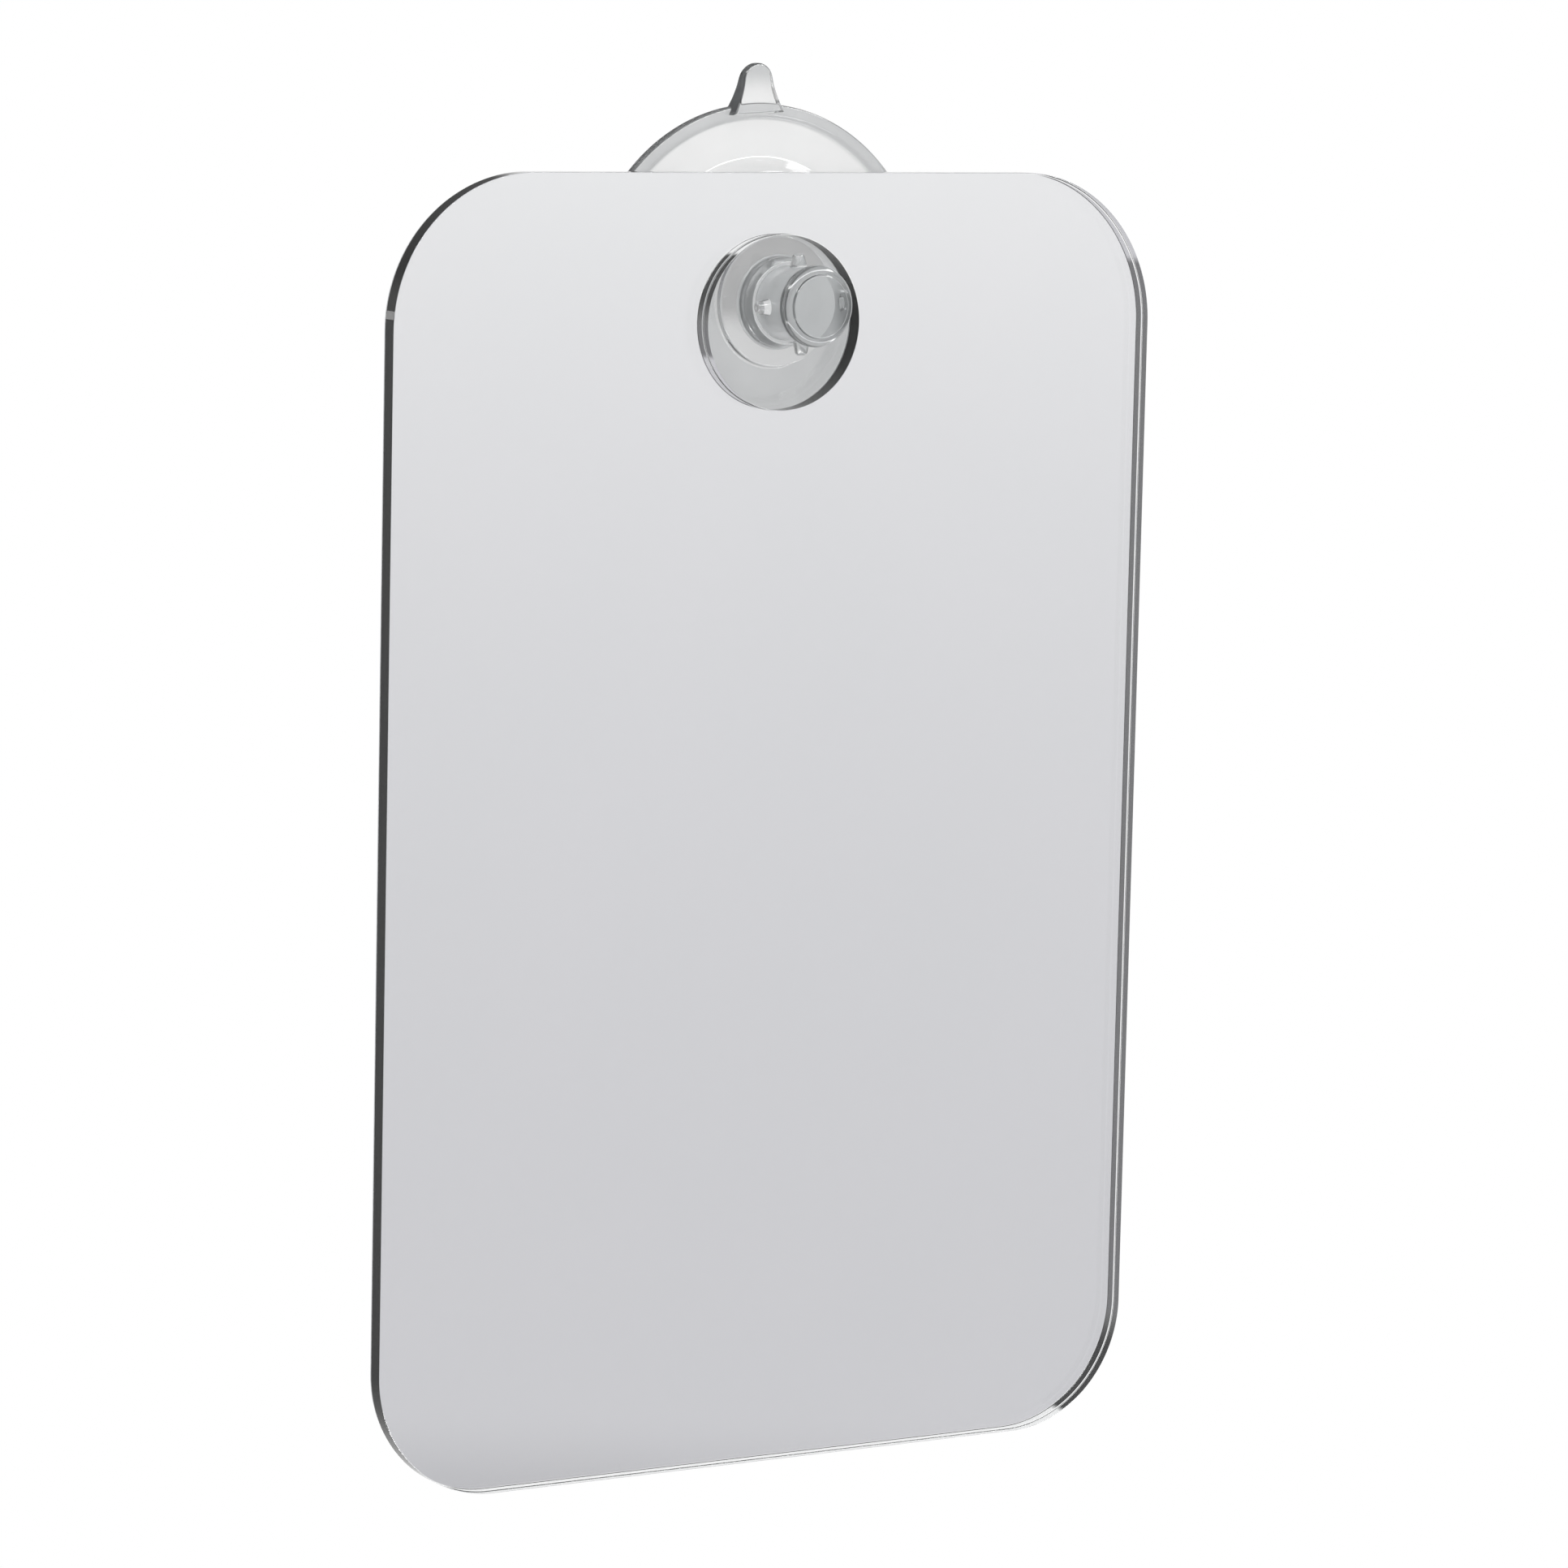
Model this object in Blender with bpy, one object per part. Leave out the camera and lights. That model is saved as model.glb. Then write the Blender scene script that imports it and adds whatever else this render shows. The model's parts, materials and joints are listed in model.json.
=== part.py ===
"""Fogless shower mirror: a mirrored acrylic panel that hangs by a hole on a clear suction cup.

Metres, +Z up, and the mirror faces -Y. The origin is on the cup's axis, in the plane of the
wall that the cup is pressed on. Heights on the cup are measured from that wall, towards -Y.
"""
import math

import bmesh
import bpy
from mathutils import Matrix, Vector

# Clearances and how finely round shapes are faceted
SEAT_GAP = 0.0003
BOND_GAP = 0.0001
CUT_OVERRUN = 0.0020
MERGE_DISTANCE = 0.000001
TURN_STEPS = 64
NUB_STEPS = 16
CORNER_STEPS = 14
FILLET_STEPS = 3
CROWN_STEPS = 6
CHAMBER_STEPS = 8
SMOOTH_ANGLE = math.radians(32)
BREAK_ANGLE = math.radians(60)

# Mirror panel: the clear sheet, the silvered layer behind it and the coat that protects it
PANEL_WIDTH = 0.1440
PANEL_HEIGHT = 0.2160
TOP_CORNER_RADIUS = 0.0252
BOTTOM_CORNER_RADIUS = 0.0214
SHEET_THICKNESS = 0.0030
SHEET_EDGE_BREAK = 0.00025
LAYER_THICKNESS = 0.0001
COAT_THICKNESS = 0.0002
HOLE_PLAY = 0.0036
EDGE_ABOVE_HOLE = 0.0102

# Suction cup: how far it was turned when it was pressed on, its rim and its lip
CUP_TURN = math.radians(3.4)
RIM_RADIUS = 0.0322
BEAD_WIDTH = 0.0018
BEAD_RISE = 0.0004
BEAD_ROUND = 0.0002
LIP_WIDTH = 0.0087
LIP_THICKNESS = 0.0015

# Step, dome and the chamber under them
STEP_RISE = 0.0025
STEP_SLOPE_WIDTH = 0.0019
STEP_ROUND = 0.0006
DOME_RISE = 0.0022
CHAMBER_MARGIN = 0.0010
CHAMBER_ROOF = 0.0008

# Boss that carries the panel
BOSS_RADIUS = 0.0108
BOSS_LENGTH = 0.0015
BOSS_ROUND = 0.0004

# Neck with the tapered collar at its foot
NECK_RADIUS = 0.0062
NECK_LENGTH = 0.0081
NECK_ROUND = 0.0005
COLLAR_STEP = 0.0006
COLLAR_TAPER_WIDTH = 0.00065
COLLAR_TAPER_LENGTH = 0.0019
COLLAR_LENGTH = 0.0018
COLLAR_ROUND = 0.0003

# Head, with its rounded crown and the flat face that stands a little over the crown
HEAD_OVERHANG = 0.00045
HEAD_LENGTH = 0.0023
HEAD_ROUND = 0.0002
CROWN_WIDTH = 0.0015
CROWN_CHAMFER = 0.00076
CROWN_ROUND = 0.0005
FACE_RISE = 0.0005
FACE_SLOPE_WIDTH = 0.0001
FACE_ROUND = 0.0002

# Nubs round the neck
NUB_COUNT = 4
NUB_FOOT_RADIUS = 0.0014
NUB_TIP_RADIUS = 0.0009
NUB_STANDOUT = 0.0021
NUB_BURIED = 0.0016
NUB_TIP_ROUND = 0.0005
NUB_BEHIND_HEAD = 0.0047

# Pull tab on the rim
TAB_LENGTH = 0.0068
TAB_FOOT_DEPTH = 0.0015
TAB_FOOT_HALF_WIDTH = 0.0048
TAB_FLARE_LENGTH = 0.0020
TAB_SIDE_HALF_WIDTH = 0.00315
TAB_TIP_HALF_WIDTH = 0.0023
TAB_FLARE_ROUND = 0.0020
TAB_TIP_ROUND = 0.0023
TAB_BACK_GAP = 0.0002
TAB_THICKNESS = 0.0037
TAB_TIP_THICKNESS = 0.0013
TAB_EDGE_ROUND = 0.0004

# Radii that follow from the sizes above
HOLE_RADIUS = BOSS_RADIUS + HOLE_PLAY
HEAD_RADIUS = NECK_RADIUS + HEAD_OVERHANG
FACE_RADIUS = HEAD_RADIUS - CROWN_WIDTH
COLLAR_FRONT_RADIUS = NECK_RADIUS + COLLAR_STEP
COLLAR_RADIUS = COLLAR_FRONT_RADIUS + COLLAR_TAPER_WIDTH
STEP_FOOT_RADIUS = RIM_RADIUS - LIP_WIDTH
STEP_TOP_RADIUS = STEP_FOOT_RADIUS - STEP_SLOPE_WIDTH
CHAMBER_RADIUS = STEP_FOOT_RADIUS + CHAMBER_MARGIN

# Heights over the wall that follow
RIM_HEIGHT = LIP_THICKNESS + BEAD_RISE
STEP_HEIGHT = LIP_THICKNESS + STEP_RISE
DOME_HEIGHT = STEP_HEIGHT + DOME_RISE
BOSS_HEIGHT = DOME_HEIGHT + BOSS_LENGTH
COLLAR_HEIGHT = BOSS_HEIGHT + COLLAR_LENGTH
NECK_FOOT_HEIGHT = COLLAR_HEIGHT + COLLAR_TAPER_LENGTH
HEAD_BACK_HEIGHT = NECK_FOOT_HEIGHT + NECK_LENGTH
CUP_LENGTH = HEAD_BACK_HEIGHT + HEAD_LENGTH
CROWN_HEIGHT = CUP_LENGTH - FACE_RISE
CHAMBER_DEPTH = DOME_HEIGHT - CHAMBER_ROOF
TAB_HEIGHT = TAB_BACK_GAP + TAB_THICKNESS

# The panel's layers, each by the height of its back, and where its hole and edges come
COAT_BACK = DOME_HEIGHT + SEAT_GAP
LAYER_BACK = COAT_BACK + COAT_THICKNESS + BOND_GAP
SHEET_BACK = LAYER_BACK + LAYER_THICKNESS + BOND_GAP
PANEL_FRONT = SHEET_BACK + SHEET_THICKNESS
HOLE_DROP = HOLE_PLAY - SEAT_GAP
HOLE_BELOW_TOP = HOLE_RADIUS + EDGE_ABOVE_HOLE


def clear_scene():
    """Remove every object that a new file starts with."""
    for item in list(bpy.data.objects):
        bpy.data.objects.remove(item, do_unlink=True)


def make_material(name, colour, roughness, metallic=0.0, transmission=0.0):
    """A Principled material with the finish of one piece."""
    material = bpy.data.materials.new(name)
    material.use_nodes = True
    shader = material.node_tree.nodes["Principled BSDF"]
    shader.inputs["Base Color"].default_value = (*colour, 1.0)
    shader.inputs["Roughness"].default_value = roughness
    shader.inputs["Metallic"].default_value = metallic
    shader.inputs["Transmission Weight"].default_value = transmission
    return material


def make_object(name, bm, material=None):
    """Turn a bmesh into a smooth-shaded object in the scene."""
    mesh = bpy.data.meshes.new(name)
    bm.to_mesh(mesh)
    bm.free()
    mesh.shade_smooth()
    mesh.set_sharp_from_angle(angle=SMOOTH_ANGLE)
    if material:
        mesh.materials.append(material)
    item = bpy.data.objects.new(name, mesh)
    bpy.context.scene.collection.objects.link(item)
    return item


def as_tool(item):
    """Mark an object that only cuts or adds to another one."""
    item.hide_render = True
    item.display_type = "WIRE"
    return item


def combine(item, tool, operation):
    """Cut one object by another, or join it on, with a live Boolean."""
    modifier = item.modifiers.new(tool.name, "BOOLEAN")
    modifier.operation = operation
    modifier.solver = "EXACT"
    modifier.object = tool


def rounded_path(corners):
    """Points of an open path whose corners, each (across, along, radius), are rounded off."""
    points = []
    last = len(corners) - 1
    for index, (across, along, radius) in enumerate(corners):
        corner = Vector((across, along))
        if radius == 0 or index in (0, last):
            points.append(corner)
            continue
        before = Vector(corners[index - 1][:2]) - corner
        after = Vector(corners[index + 1][:2]) - corner
        half_angle = before.angle(after) / 2
        room = min(before.length, after.length) / 2
        reach = min(radius / math.tan(half_angle), room)
        start = corner + before.normalized() * reach
        end = corner + after.normalized() * reach
        middle = (before.normalized() + after.normalized()).normalized()
        centre = corner + middle * reach / math.cos(half_angle)
        sweep = (start - centre).angle_signed(end - centre)
        for step in range(FILLET_STEPS + 1):
            turn = Matrix.Rotation(-sweep * step / FILLET_STEPS, 2)
            points.append(centre + turn @ (start - centre))
    return points


def cap_height(distance, mouth_radius, height):
    """Height of a spherical cap over its mouth, at a distance from its axis."""
    sphere_radius = (mouth_radius**2 + height**2) / (2 * height)
    return math.sqrt(sphere_radius**2 - distance**2) - (sphere_radius - height)


def spin_solid(bm, path, steps):
    """Turn a path of (radius, height) points about the Y axis, heights running towards -Y."""
    verts = [bm.verts.new((radius, -height, 0)) for radius, height in path]
    edges = [bm.edges.new(pair) for pair in zip(verts, verts[1:])]
    bmesh.ops.spin(
        bm,
        geom=verts + edges,
        cent=(0, 0, 0),
        axis=(0, 1, 0),
        angle=math.tau,
        steps=steps,
        use_merge=True,
    )
    bmesh.ops.remove_doubles(bm, verts=bm.verts, dist=MERGE_DISTANCE)
    bmesh.ops.recalc_face_normals(bm, faces=bm.faces)


def head_and_neck_corners():
    """Corners of the cup's outside, from the middle of its face back to the boss's foot."""
    return [
        (0, CUP_LENGTH, 0),
        (FACE_RADIUS, CUP_LENGTH, FACE_ROUND),
        (FACE_RADIUS + FACE_SLOPE_WIDTH, CROWN_HEIGHT, 0),
        (HEAD_RADIUS - CROWN_CHAMFER, CROWN_HEIGHT, CROWN_ROUND),
        (HEAD_RADIUS, CROWN_HEIGHT - CROWN_CHAMFER, CROWN_ROUND),
        (HEAD_RADIUS, HEAD_BACK_HEIGHT, HEAD_ROUND),
        (NECK_RADIUS, HEAD_BACK_HEIGHT - HEAD_OVERHANG, NECK_ROUND),
        (NECK_RADIUS, NECK_FOOT_HEIGHT, NECK_ROUND),
        (COLLAR_FRONT_RADIUS, NECK_FOOT_HEIGHT, COLLAR_ROUND),
        (COLLAR_RADIUS, COLLAR_HEIGHT, COLLAR_ROUND),
        (COLLAR_RADIUS, BOSS_HEIGHT, BOSS_ROUND),
        (BOSS_RADIUS, BOSS_HEIGHT, BOSS_ROUND),
        (BOSS_RADIUS, DOME_HEIGHT, BOSS_ROUND),
    ]


def dome_corners():
    """Corners of the domed shoulder that falls away from the boss to the step."""
    width = STEP_TOP_RADIUS - BOSS_RADIUS
    corners = []
    for step in range(1, CROWN_STEPS):
        share = step / CROWN_STEPS
        corners.append((BOSS_RADIUS + width * share, DOME_HEIGHT - DOME_RISE * share**2, 0))
    return corners


def step_and_rim_corners():
    """Corners of the cup's outside, from the step out over the lip and its bead to the wall."""
    bead_inner_radius = RIM_RADIUS - BEAD_WIDTH
    return [
        (STEP_TOP_RADIUS, STEP_HEIGHT, STEP_ROUND),
        (STEP_FOOT_RADIUS, LIP_THICKNESS, STEP_ROUND),
        (bead_inner_radius - BEAD_RISE, LIP_THICKNESS, BEAD_ROUND),
        (bead_inner_radius, RIM_HEIGHT, BEAD_ROUND),
        (RIM_RADIUS, RIM_HEIGHT, BEAD_ROUND),
        (RIM_RADIUS, 0, 0),
    ]


def chamber_points():
    """Points of the hollow that the air is pressed out of, from its mouth to its middle."""
    points = []
    for step in range(CHAMBER_STEPS + 1):
        distance = CHAMBER_RADIUS * (1 - step / CHAMBER_STEPS)
        points.append(Vector((distance, cap_height(distance, CHAMBER_RADIUS, CHAMBER_DEPTH))))
    return points


def make_nubs():
    """Tapering round-tipped pegs that stand out of the neck, evenly spaced."""
    root = NECK_RADIUS - NUB_BURIED
    tip = NECK_RADIUS + NUB_STANDOUT
    corners = [
        (0, root, 0),
        (NUB_FOOT_RADIUS, root, 0),
        (NUB_FOOT_RADIUS, NECK_RADIUS, 0),
        (NUB_TIP_RADIUS, tip, NUB_TIP_ROUND),
        (0, tip, 0),
    ]
    path = rounded_path(corners)
    height = HEAD_BACK_HEIGHT - NUB_BEHIND_HEAD
    joined = bmesh.new()
    for number in range(NUB_COUNT):
        bm = bmesh.new()
        spin_solid(bm, path, NUB_STEPS)
        upright = Matrix.Rotation(-math.pi / 2, 4, "X")
        around = Matrix.Rotation(math.tau * number / NUB_COUNT - CUP_TURN, 4, "Y")
        place = Matrix.Translation((0, -height, 0)) @ around @ upright
        bmesh.ops.transform(bm, matrix=place, verts=bm.verts)
        peg = bpy.data.meshes.new("nub")
        bm.to_mesh(peg)
        bm.free()
        joined.from_mesh(peg)
        bpy.data.meshes.remove(peg)
    return as_tool(make_object("cup_nubs", joined))


def make_tab():
    """Pull tab on the rim: a rounded tongue, flared at its foot, whose back leaves the wall as it thins."""
    foot = RIM_RADIUS - TAB_FOOT_DEPTH
    tip = RIM_RADIUS + TAB_LENGTH
    right_side = [
        (TAB_TIP_HALF_WIDTH, tip, TAB_TIP_ROUND),
        (TAB_SIDE_HALF_WIDTH, RIM_RADIUS + TAB_FLARE_LENGTH, TAB_FLARE_ROUND),
        (TAB_FOOT_HALF_WIDTH, foot, 0),
    ]
    left_side = [(-across, along, radius) for across, along, radius in reversed(right_side)]

    bm = bmesh.new()
    outline = rounded_path(left_side + right_side)
    front = bm.faces.new([bm.verts.new((across, -TAB_HEIGHT, along)) for across, along in outline])
    grown = bmesh.ops.extrude_face_region(bm, geom=[front], use_keep_orig=True)
    back = [part for part in grown["geom"] if isinstance(part, bmesh.types.BMVert)]
    for vert in back:
        share = (vert.co.z - foot) / (tip - foot)
        vert.co.y += TAB_THICKNESS + (TAB_TIP_THICKNESS - TAB_THICKNESS) * share
    bmesh.ops.recalc_face_normals(bm, faces=bm.faces)
    bmesh.ops.bevel(
        bm,
        geom=[edge for edge in bm.edges if not any(vert in back for vert in edge.verts)],
        offset=TAB_EDGE_ROUND,
        offset_type="OFFSET",
        affect="EDGES",
        segments=2,
        profile=0.5,
        material=-1,
        clamp_overlap=True,
    )
    bmesh.ops.transform(bm, matrix=Matrix.Rotation(-CUP_TURN, 4, "Y"), verts=bm.verts)
    return as_tool(make_object("cup_tab", bm))


def make_suction_cup():
    """One clear moulding: rim, lip, step, dome, boss, neck, nubs, head and pull tab."""
    corners = head_and_neck_corners() + dome_corners() + step_and_rim_corners()
    bm = bmesh.new()
    spin_solid(bm, rounded_path(corners) + chamber_points(), TURN_STEPS)
    clear_vinyl = make_material("clear_vinyl", (0.80, 0.82, 0.83), 0.12, transmission=0.8)
    cup = make_object("suction_cup", bm, clear_vinyl)
    combine(cup, make_nubs(), "UNION")
    combine(cup, make_tab(), "UNION")


def make_hole_cutter():
    """Cylinder that cuts the panel's hole, with its axis on the hole's."""
    bm = bmesh.new()
    bmesh.ops.create_cone(
        bm,
        cap_ends=True,
        segments=TURN_STEPS,
        radius1=HOLE_RADIUS,
        radius2=HOLE_RADIUS,
        depth=PANEL_FRONT - COAT_BACK + 2 * CUT_OVERRUN,
        matrix=Matrix.Rotation(math.pi / 2, 4, "X"),
    )
    cutter = as_tool(make_object("panel_hole", bm))
    cutter.location = (0, -(COAT_BACK + PANEL_FRONT) / 2, -HOLE_DROP)
    return cutter


def round_corners(bm, corners, radius):
    """Round the given corners of a flat outline."""
    bmesh.ops.bevel(
        bm,
        geom=corners,
        offset=radius,
        offset_type="OFFSET",
        affect="VERTICES",
        segments=CORNER_STEPS,
        profile=0.5,
        material=-1,
    )


def make_plate(name, back, thickness, material, cutter, pivot):
    """One flat layer of the panel, round-cornered, with the hole cut through it."""
    bm = bmesh.new()
    bmesh.ops.create_grid(bm, x_segments=1, y_segments=1, size=0.5)
    bmesh.ops.scale(bm, vec=(PANEL_WIDTH, PANEL_HEIGHT, 1), verts=bm.verts)
    round_corners(bm, [vert for vert in bm.verts if vert.co.y > 0], TOP_CORNER_RADIUS)
    lowest = min(vert.co.y for vert in bm.verts)
    round_corners(bm, [vert for vert in bm.verts if vert.co.y == lowest], BOTTOM_CORNER_RADIUS)
    bmesh.ops.transform(bm, matrix=Matrix.Rotation(math.pi / 2, 4, "X"), verts=bm.verts)
    bmesh.ops.translate(bm, vec=(0, 0, HOLE_BELOW_TOP - PANEL_HEIGHT / 2), verts=bm.verts)
    grown = bmesh.ops.extrude_face_region(bm, geom=bm.faces[:], use_keep_orig=True)
    front = [part for part in grown["geom"] if isinstance(part, bmesh.types.BMVert)]
    bmesh.ops.translate(bm, vec=(0, -thickness, 0), verts=front)
    bmesh.ops.recalc_face_normals(bm, faces=bm.faces)
    plate = make_object(name, bm, material)
    plate.parent = pivot
    plate.location = (0, -back - pivot.location.y, 0)
    combine(plate, cutter, "DIFFERENCE")
    return plate


def break_edges(plate):
    """Take the sharp edges off a plate, all round its outline and its hole."""
    modifier = plate.modifiers.new("edge_break", "BEVEL")
    modifier.width = SHEET_EDGE_BREAK
    modifier.segments = 1
    modifier.limit_method = "ANGLE"
    modifier.angle_limit = BREAK_ANGLE


def make_panel():
    """The hanging panel, whose pivot is on the axis of its hole."""
    pivot = bpy.data.objects.new("mirror_pivot", None)
    pivot.location = (0, -PANEL_FRONT, -HOLE_DROP)
    bpy.context.scene.collection.objects.link(pivot)
    cutter = make_hole_cutter()

    clear_acrylic = make_material("clear_acrylic", (0.86, 0.88, 0.88), 0.04, transmission=0.9)
    sheet = make_plate("acrylic_sheet", SHEET_BACK, SHEET_THICKNESS, clear_acrylic, cutter, pivot)
    break_edges(sheet)

    silver = make_material("silver_layer", (0.84, 0.85, 0.86), 0.02, metallic=1.0)
    make_plate("mirror_layer", LAYER_BACK, LAYER_THICKNESS, silver, cutter, pivot)

    grey_coat = make_material("grey_coat", (0.42, 0.43, 0.44), 0.55)
    make_plate("backing_coat", COAT_BACK, COAT_THICKNESS, grey_coat, cutter, pivot)


clear_scene()
make_suction_cup()
make_panel()
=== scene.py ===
"""Looks of a fogless shower mirror: a mirrored acrylic panel that hangs on a clear suction cup.

Metres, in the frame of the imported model: +Z up, the mirror faces -Y, and y = 0 is the wall that
the cup is pressed on. Heights on the cup are measured from that wall, towards -Y.
"""
import json
import math

import bmesh
import bpy
from mathutils import Matrix, Vector


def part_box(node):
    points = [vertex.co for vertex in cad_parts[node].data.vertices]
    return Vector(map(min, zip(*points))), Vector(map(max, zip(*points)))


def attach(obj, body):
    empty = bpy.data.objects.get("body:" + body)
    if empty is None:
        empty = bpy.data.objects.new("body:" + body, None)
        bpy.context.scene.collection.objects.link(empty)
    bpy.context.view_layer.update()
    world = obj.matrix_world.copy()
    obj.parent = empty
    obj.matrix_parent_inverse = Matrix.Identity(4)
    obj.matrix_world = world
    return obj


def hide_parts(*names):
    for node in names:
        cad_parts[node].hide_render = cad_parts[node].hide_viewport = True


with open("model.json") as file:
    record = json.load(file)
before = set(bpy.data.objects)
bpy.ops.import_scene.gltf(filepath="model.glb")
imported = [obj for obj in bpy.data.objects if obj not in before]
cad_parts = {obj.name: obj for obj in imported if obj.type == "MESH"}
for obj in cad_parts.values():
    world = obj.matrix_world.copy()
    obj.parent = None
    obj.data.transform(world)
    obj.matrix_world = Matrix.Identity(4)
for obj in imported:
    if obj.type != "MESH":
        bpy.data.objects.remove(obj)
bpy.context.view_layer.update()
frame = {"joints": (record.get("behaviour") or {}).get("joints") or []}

# Places that the frame gives
cup_low, cup_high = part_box("suction_cup")
sheet_low, sheet_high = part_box("acrylic_sheet")
coat_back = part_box("backing_coat")[1].y
hole_axis = Vector(frame["joints"][0]["pos_m"])

# The turn that stands what is drawn flat upright, with its front to the front
UPRIGHT = Matrix.Rotation(math.pi / 2, 4, "X")

# How finely round shapes are turned, and which faces count as flat or as sides
TURN_STEPS = 192
NUB_STEPS = 40
ROUND_STEPS = 6
CORNER_STEPS = 40
EDGE_BREAK_STEPS = 3
DOME_STEPS = 12
CHAMBER_STEPS = 20
SMOOTH_ANGLE = math.radians(34)
FLAT_SHARE = 0.999
EDGE_SHARE = 0.8

# How near two points are one, and how far a cutter reaches past what it cuts
MERGE_DISTANCE = 0.000001
CUT_OVERRUN = 0.002

# Panel: its corners and hole, and how far the silvering and the paint stop short of its edges
TOP_CORNER_RADIUS = 0.0252
BOTTOM_CORNER_RADIUS = 0.0214
HOLE_RADIUS = 0.0144
EDGE_BREAK = 0.00012
EDGE_SUPPORT = 0.00003
SILVER_THICKNESS = 0.0001
LAYER_GAP = 0.00001
CLEAR_MARGIN = 0.00018

# Suction cup, rim, lip and shoulder
CUP_TURN = math.radians(3.4)
RIM_RADIUS = cup_high.x
BEAD_WIDTH = 0.0018
BEAD_RISE = 0.0004
BEAD_ROUND = 0.00028
RIM_ROUND = 0.0004
LIP_WIDTH = 0.0087
LIP_THICKNESS = 0.0015
STEP_RISE = 0.0025
STEP_SLOPE_WIDTH = 0.0019
STEP_ROUND = 0.0006
DOME_RISE = 0.0022
CHAMBER_MARGIN = 0.0010
CHAMBER_ROOF = 0.0008

# Boss, collar and neck
BOSS_RADIUS = 0.0108
BOSS_LENGTH = 0.0015
BOSS_ROUND = 0.0004
NECK_RADIUS = 0.0062
NECK_ROUND = 0.0004
NECK_FOOT_ROUND = 0.0002
NECK_GROOVE_DEPTH = 0.0004
COLLAR_STEP = 0.0006
COLLAR_TAPER_WIDTH = 0.00065
COLLAR_TAPER_LENGTH = 0.0019
COLLAR_LENGTH = 0.0018
COLLAR_ROUND = 0.00028

# Head
HEAD_OVERHANG = 0.00045
HEAD_LENGTH = 0.0023
HEAD_CROWN_WIDTH = 0.0015
HEAD_CROWN_ROUND = 0.0013
HEAD_ROUND = 0.0002
FACE_RISE = 0.0005
FACE_SLOPE_WIDTH = 0.0001
FACE_ROUND = 0.00025
FACE_FOOT_ROUND = 0.0001

# Nubs
NUB_COUNT = 4
NUB_FOOT_RADIUS = 0.0014
NUB_TIP_RADIUS = 0.0009
NUB_STANDOUT = 0.0021
NUB_BURIED = 0.0016
NUB_TIP_ROUND = 0.0004
NUB_BEHIND_HEAD = 0.0047
NUB_DIMPLE_RADIUS = 0.00035
NUB_DIMPLE_FLOOR_RADIUS = 0.000175
NUB_DIMPLE_DEPTH = 0.0003
NUB_DIMPLE_ROUND = 0.0001

# Pull tab
TAB_FOOT_DEPTH = 0.0015
TAB_LENGTH = 0.0068
TAB_FOOT_HALF_WIDTH = 0.0048
TAB_FLARE_LENGTH = 0.0020
TAB_SIDE_HALF_WIDTH = 0.00315
TAB_TIP_HALF_WIDTH = 0.0023
TAB_FLARE_ROUND = 0.0016
TAB_TIP_ROUND = 0.0022
TAB_BACK_GAP = 0.0002
TAB_THICKNESS = 0.0037
TAB_TIP_THICKNESS = 0.0013
TAB_EDGE_ROUND = 0.0005

# Radii and heights that follow
HEAD_RADIUS = NECK_RADIUS + HEAD_OVERHANG
COLLAR_FRONT_RADIUS = NECK_RADIUS + COLLAR_STEP
COLLAR_RADIUS = COLLAR_FRONT_RADIUS + COLLAR_TAPER_WIDTH
STEP_FOOT_RADIUS = RIM_RADIUS - LIP_WIDTH
STEP_TOP_RADIUS = STEP_FOOT_RADIUS - STEP_SLOPE_WIDTH
CHAMBER_RADIUS = STEP_FOOT_RADIUS + CHAMBER_MARGIN
STEP_HEIGHT = LIP_THICKNESS + STEP_RISE
DOME_HEIGHT = STEP_HEIGHT + DOME_RISE
BOSS_HEIGHT = DOME_HEIGHT + BOSS_LENGTH
COLLAR_HEIGHT = BOSS_HEIGHT + COLLAR_LENGTH
NECK_FOOT_HEIGHT = COLLAR_HEIGHT + COLLAR_TAPER_LENGTH
CUP_LENGTH = -cup_low.y
CROWN_HEIGHT = CUP_LENGTH - FACE_RISE
HEAD_BACK_HEIGHT = CUP_LENGTH - HEAD_LENGTH
CHAMBER_DEPTH = DOME_HEIGHT - CHAMBER_ROOF

# Where the vinyl's tone changes, as the start and end of each soft step, outwards from the cup's axis
# Beyond the panel's hole the moulding takes the lip's tone; nearer the axis it takes the thick parts' grey
# and painted shade
LIP_TONE_STEP = (0.015, 0.024)
BEAD_INNER_STEP = (0.0294, 0.0300)
BEAD_OUTER_STEP = (0.0322, 0.0326)
TAB_STEP = (0.0335, 0.0380)
BOSS_SIDE_INNER_STEP = (0.0100, 0.0105)
BOSS_SIDE_OUTER_STEP = (0.0110, 0.0112)
BOSS_FRONT_OUTER_STEP = (0.0104, 0.0108)
CROWN_STEP = (0.0049, 0.0053)

# The same along the cup's axis, towards the wall
HEAD_END_STEP = (-0.0198, -0.0192)
NECK_END_STEP = (-0.0116, -0.0112)
BOSS_FRONT_START_STEP = (-0.0084, -0.0080)
BOSS_FRONT_END_STEP = (-0.0074, -0.0072)
BOSS_SIDE_START_STEP = (-0.0075, -0.0072)
BOSS_SIDE_END_STEP = (-0.0062, -0.0060)

# The same upwards, on the boss: below this the boss's front is painted lighter, a painted highlight
BOSS_PAINTED_LIGHT_STEP = (-0.0045, -0.0005)

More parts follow.
